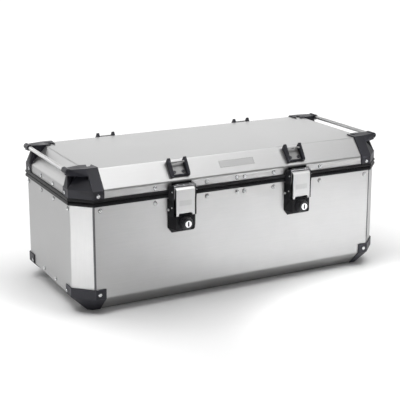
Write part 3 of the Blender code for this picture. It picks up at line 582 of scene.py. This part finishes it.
def seam_shade_strips():
    """A dark strip over each upright joint between the front or rear panel and a corner post: painted shade
    of the seam and the fold beside it.
    """
    fold = HALF_LENGTH - CORNER_CUT
    outline = [
        (fold - 1.9 * MM, HALF_DEPTH - 0.1 * MM),
        (fold - 1.9 * MM, HALF_DEPTH + SHADE_STRIP_OVER * 0.6),
        (fold - 1.5 * MM, HALF_DEPTH + SHADE_STRIP_OVER),
        (fold + 0.2 * MM, HALF_DEPTH + SHADE_STRIP_OVER),
        (fold + SHADE_STRIP_BACK + 0.2 * MM, HALF_DEPTH - SHADE_STRIP_BACK + 0.5 * MM),
        (fold + SHADE_STRIP_BACK + 0.5 * MM, HALF_DEPTH - SHADE_STRIP_BACK + 0.1 * MM),
        (fold + SHADE_STRIP_BACK, HALF_DEPTH - SHADE_STRIP_BACK - 0.1 * MM),
        (fold, HALF_DEPTH - 0.1 * MM),
    ]
    for face_label, face in FACES.items():
        for side_label, side in SIDES.items():
            bm = bmesh.new()
            extruded(bm, [(side * x, face * y) for x, y in outline], 2, SHADE_STRIP_BOTTOM, BODY_TOP)
            piece("seam_shade_strip_" + face_label + "_" + side_label, bm, "seam_shade", "case", 30)


SLOPE_RUN = Vector((0, LID_INSET, LID_TOP - LID_FOLD)).normalized()


def on_slope(face, x, along, out=0.0):
    """A point on the lid's front or rear slope, up from its lower fold and out from its face."""
    y = HALF_DEPTH - along * SLOPE_RUN.y + out * SLOPE_RUN.z
    return Vector((x, face * y, LID_FOLD + along * SLOPE_RUN.z + out * SLOPE_RUN.y))


def slope_facing(face, x, along, out=0.0):
    return facing(on_slope(face, x, along, out), (0, face * SLOPE_RUN.z, SLOPE_RUN.y))


BADGE_X = -1 * MM
BADGE_ALONG = 29.4 * MM           # up the slope from its lower fold
BADGE_SHAPE = {
    "half_width": 48.5 * MM, "half_height": 9.3 * MM, "thick": 0.5 * MM, "corner": 1.2 * MM, "rim": 0.9 * MM,
}


def blank_badge():
    """The badge on the lid's front slope, left blank."""
    bm = bmesh.new()
    plaque(bm, slope_facing(FACES["front"], BADGE_X, BADGE_ALONG), **BADGE_SHAPE)
    piece("blank_badge", bm, "badge", "lid", 30)


# --- Latches ------------------------------------------------------------------------------------

LATCH_X = 162.5 * MM
LEVER_FACE_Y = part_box("latch_lever_left")[0].y
PAD_Z = 253.5 * MM
PAD_SHAPE = {"half_width": 16.5 * MM, "half_height": 6.5 * MM, "thick": 0.3 * MM, "corner": 1.6 * MM}
HOOK_RIVET_X = 16.5 * MM          # from the latch's middle
HOOK_RIVET_BACK = 4.6 * MM        # behind the hook's front
HOOK_RIVET_RADIUS = 1.7 * MM
PIN_RADIUS = 1.9 * MM
# each pin's distance from the latch's middle, y, z, and how far its axis leans to the front
PINS = (
    (32.3 * MM, -211.5 * MM, 281.5 * MM, -0.417),
    (32.3 * MM, -209.6 * MM, 242.5 * MM, -0.334),
)
STUD = (34.5 * MM, -199.0 * MM, 236.0 * MM)
STUD_PROFILE = ((2.8 * MM, 0), (2.8 * MM, 4.2 * MM), (2.2 * MM, 5.0 * MM), (0, 5.0 * MM))
KEYWAY_HALF_WIDTH = 2.0 * MM
KEYWAY_HALF_HEIGHT = 5.6 * MM
KEYWAY_DEPTHS = (0.5 * MM, 1.2 * MM)   # its face and its back, behind the key cylinder's face


def lever_pad(label, middle):
    pad = bmesh.new()
    plaque(pad, facing((middle, LEVER_FACE_Y, PAD_Z), (0, -1, 0)), **PAD_SHAPE)
    piece("lever_pad_" + label, pad, "lever_pad", "lever_" + label, 30)


def hook_rivets(label, middle):
    low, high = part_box("latch_hook_" + label)
    bm = bmesh.new()
    for x in both((HOOK_RIVET_X,)):
        place = (middle + x, low.y + HOOK_RIVET_BACK, high.z)
        dome_rivet(bm, facing(place, (0, 0, 1), (0, 1, 0)), HOOK_RIVET_RADIUS)
    piece("hook_rivets_" + label, bm, "rivet", "hook_" + label, 60)


def housing_pins(label, middle):
    """Two pins through each cheek of the housing, and the stud behind them."""
    pins = bmesh.new()
    studs = bmesh.new()
    for direction in (-1, 1):
        for out, y, z, lean in PINS:
            seat = facing((middle + direction * out, y, z), (direction * 0.93, lean, 0))
            dome_rivet(pins, seat, PIN_RADIUS)
        out, y, z = STUD
        turned(studs, STUD_PROFILE, facing((middle + direction * out, y, z), (direction, 0, 0)), 20)
    piece("housing_pins_" + label, pins, "steel", "case", 60)
    piece("housing_studs_" + label, studs, "steel", "case", 60)


def keyway(label, middle):
    """A near-black plate just inside the key cylinder's slot: painted shade of the slot's depth."""
    low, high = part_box("key_cylinder_" + label)
    lock_z = (low.z + high.z) / 2
    corners = ((-1, -1), (1, -1), (1, 1), (-1, 1))
    outline = [(middle + x * KEYWAY_HALF_WIDTH, lock_z + z * KEYWAY_HALF_HEIGHT) for x, z in corners]
    bm = bmesh.new()
    extruded(bm, outline, 1, *(low.y + depth for depth in KEYWAY_DEPTHS))
    piece("keyway_" + label, bm, "keyway", "key_" + label, 30)


def latch_details():
    for label, side in SIDES.items():
        middle = side * LATCH_X
        lever_pad(label, middle)
        hook_rivets(label, middle)
        housing_pins(label, middle)
        keyway(label, middle)


# --- Screws of the tie-downs and hinges ---------------------------------------------------------

TIE_SCREW_X = 11.5 * MM           # from the plate's middle
TIE_SCREW_ALONG = 22.6 * MM       # up the slope from its lower fold
TIE_PLATE_TOP = 1.8 * MM          # the plate's face, out from the slope
TIE_SCREW_RADIUS = 4.2 * MM
TIE_SCREW_HEIGHT = 1.8 * MM


def tie_screws():
    """Two dark screws through the plate of each strap loop."""
    for face_label, face in FACES.items():
        for side_label in SIDES:
            tag = face_label + "_" + side_label
            low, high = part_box("tie_plate_" + tag)
            middle = (low.x + high.x) / 2
            bm = bmesh.new()
            for x in both((TIE_SCREW_X,)):
                seat = slope_facing(face, middle + x, TIE_SCREW_ALONG, TIE_PLATE_TOP)
                socket_screw(bm, seat, TIE_SCREW_RADIUS, TIE_SCREW_HEIGHT)
            piece("tie_screws_" + tag, bm, "dark_steel", "lid")


HINGE_SCREW_X = 20.5 * MM         # from the leaf's middle
HINGE_LEAF = 2 * MM               # from a leaf's back to its face
LID_LEAF_SCREW_DROP = 4.2 * MM    # below the lid leaf's top
BODY_LEAF_SCREW_RISE = 13.5 * MM  # above the body leaf's bottom
HINGE_SCREW_RADIUS = 3.4 * MM
HINGE_SCREW_HEIGHT = 1.3 * MM


def hinge_screws():
    """Screws through the leaves of both hinges."""
    for label in SIDES:
        for kind, body in (("lid", "lid"), ("body", "case")):
            low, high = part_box("hinge_" + kind + "_leaf_" + label)
            middle = (low.x + high.x) / 2
            z = high.z - LID_LEAF_SCREW_DROP if kind == "lid" else low.z + BODY_LEAF_SCREW_RISE
            bm = bmesh.new()
            for x in both((HINGE_SCREW_X,)):
                seat = facing((middle + x, low.y + HINGE_LEAF, z), (0, 1, 0))
                socket_screw(bm, seat, HINGE_SCREW_RADIUS, HINGE_SCREW_HEIGHT)
            piece("hinge_screws_" + kind + "_" + label, bm, "steel", body)


# --- Stage, light and camera ----------------------------------------------------------------------

SEEN_WHITE = 1.1                  # brightness of the white behind and around the case
FLOOR_SIZE = 30
FLOOR_DROP = 0.2 * MM             # keeps the paper clear of the case's own floor
FADE_REACH = (0.95, 0.70)         # half the length and depth of the ellipse in which the paper fades
FADE_FROM = 0.55                  # shares of that reach at which the fade starts and ends
FADE_TO = 1.05


def pale_floor(name):
    """Matt paper that fades into the studio's white away from the case."""
    nodes = Nodes(name)
    mottle = nodes.noise(2, 3.0)
    paper = nodes.ramp(mottle, [(0.3, (0.91, 0.91, 0.91)), (0.7, (0.94, 0.94, 0.94))])
    nodes.feed(paper, "Base Color")
    nodes.set(Roughness=0.9)

    away = nodes.tree.nodes.new("ShaderNodeVectorMath")
    away.operation = "LENGTH"
    nodes.link(nodes.scaled(1 / FADE_REACH[0], 1 / FADE_REACH[1], 0), away.inputs["Vector"])
    seen = nodes.tree.nodes.new("ShaderNodeLightPath").outputs["Is Camera Ray"]
    fade = nodes.math("MULTIPLY", nodes.remap(away.outputs["Value"], FADE_FROM, FADE_TO, 0.0, 1.0), seen)
    white = nodes.tree.nodes.new("ShaderNodeEmission")
    white.inputs["Strength"].default_value = SEEN_WHITE
    mixed = nodes.tree.nodes.new("ShaderNodeMixShader")
    nodes.link(fade, mixed.inputs["Fac"])
    nodes.link(nodes.shader.outputs["BSDF"], mixed.inputs[1])
    nodes.link(white.outputs["Emission"], mixed.inputs[2])
    nodes.link(mixed.outputs["Shader"], nodes.tree.nodes["Material Output"].inputs["Surface"])
    nodes.material.cycles.emission_sampling = "NONE"   # the white is only seen, and lights nothing
    return nodes.material


def floor():
    bm = bmesh.new()
    bmesh.ops.create_grid(bm, x_segments=1, y_segments=1, size=FLOOR_SIZE)
    mesh = bpy.data.meshes.new("floor")
    bm.to_mesh(mesh)
    bm.free()
    mesh.materials.append(pale_floor("floor_paper"))
    made = bpy.data.objects.new("floor", mesh)
    made.location.z = -FLOOR_DROP
    bpy.context.scene.collection.objects.link(made)


WORLD = 0.16                      # brightness of the surroundings as a light
MIDDLE = (0, 0, 0.16)
# name, where it stands, what it faces, width and height, spread in degrees, watts
BANKS = [
    ("front_right", (2.10, -2.65, 0.75), MIDDLE, (1.2, 1.5), 180, 2),
    ("left_low", (-3.10, -1.15, 0.80), MIDDLE, (1.6, 1.5), 180, 9),
    ("left_rear", (-1.10, 3.20, 0.90), MIDDLE, (1.6, 1.5), 180, 17),
    ("rear", (1.35, 3.15, 1.10), MIDDLE, (2.7, 1.6), 180, 20),
    ("right", (3.30, 0.30, 0.90), MIDDLE, (1.4, 1.5), 180, 15),
    ("high_a", (0.50, -1.15, 2.55), MIDDLE, (0.6, 0.6), 180, 6),
    ("high_b", (1.60, -1.00, 2.40), MIDDLE, (0.8, 0.8), 180, 5),
    ("overhead", (-0.20, 0.60, 3.30), (-0.20, 0.60, 0.0), (4.4, 3.6), 180, 112),
    ("pool_middle", (0.42, -1.00, 1.50), (0.34, -0.72, 0.0), (0.15, 0.15), 38, 3.5),
    ("pool_right", (0.95, -1.00, 1.50), (0.88, -0.74, 0.0), (0.15, 0.15), 38, 2.1),
    ("pool_left", (-1.10, -0.45, 1.60), (-1.00, -0.40, 0.0), (0.3, 0.3), 45, 3.4),
]


def soft_light(name, place, target, size, spread, power):
    """A rectangular bank that stays out of the camera's sight."""
    lamp = bpy.data.lights.new(name, "AREA")
    lamp.shape = "RECTANGLE"
    lamp.size, lamp.size_y = size
    lamp.spread = math.radians(spread)
    lamp.energy = power
    made = bpy.data.objects.new(name, lamp)
    made.location = place
    made.rotation_euler = (Vector(target) - Vector(place)).to_track_quat("-Z", "Y").to_euler()
    made.visible_camera = False
    bpy.context.scene.collection.objects.link(made)


def surroundings():
    """A dim white world that the camera sees as bright white."""
    world = bpy.data.worlds.new("studio")
    world.use_nodes = True
    background = world.node_tree.nodes["Background"]
    background.inputs["Color"].default_value = (1, 1, 1, 1)
    seen = world.node_tree.nodes.new("ShaderNodeLightPath").outputs["Is Camera Ray"]
    strength = world.node_tree.nodes.new("ShaderNodeMapRange")
    strength.inputs["To Min"].default_value = WORLD
    strength.inputs["To Max"].default_value = SEEN_WHITE
    world.node_tree.links.new(seen, strength.inputs["Value"])
    world.node_tree.links.new(strength.outputs["Result"], background.inputs["Strength"])
    bpy.context.scene.world = world
    bpy.context.scene.view_settings.view_transform = "Standard"


CAMERA_PLACE = (-1.216, -2.327, 0.932)
CAMERA_YAW = 0.4776               # radians from +Y towards +X
CAMERA_PITCH = 0.2389             # radians below the level
SENSOR_WIDTH = 36                 # this and the focal length are in millimetres
FOCAL_LENGTH = 93.1
LENS_SHIFT = -0.1


def camera():
    lens = bpy.data.cameras.new("camera")
    lens.sensor_width = SENSOR_WIDTH
    lens.lens = FOCAL_LENGTH
    lens.shift_y = LENS_SHIFT
    made = bpy.data.objects.new("camera", lens)
    made.location = CAMERA_PLACE
    level = math.cos(CAMERA_PITCH)
    direction = Vector((math.sin(CAMERA_YAW) * level, math.cos(CAMERA_YAW) * level, -math.sin(CAMERA_PITCH)))
    made.rotation_euler = direction.to_track_quat("-Z", "Y").to_euler()
    bpy.context.scene.collection.objects.link(made)
    bpy.context.scene.camera = made


finish_frame()
rivets()
cap_screws()
seam_shade_strips()
blank_badge()
latch_details()
tie_screws()
hinge_screws()
floor()
for bank in BANKS:
    soft_light(*bank)
surroundings()
camera()
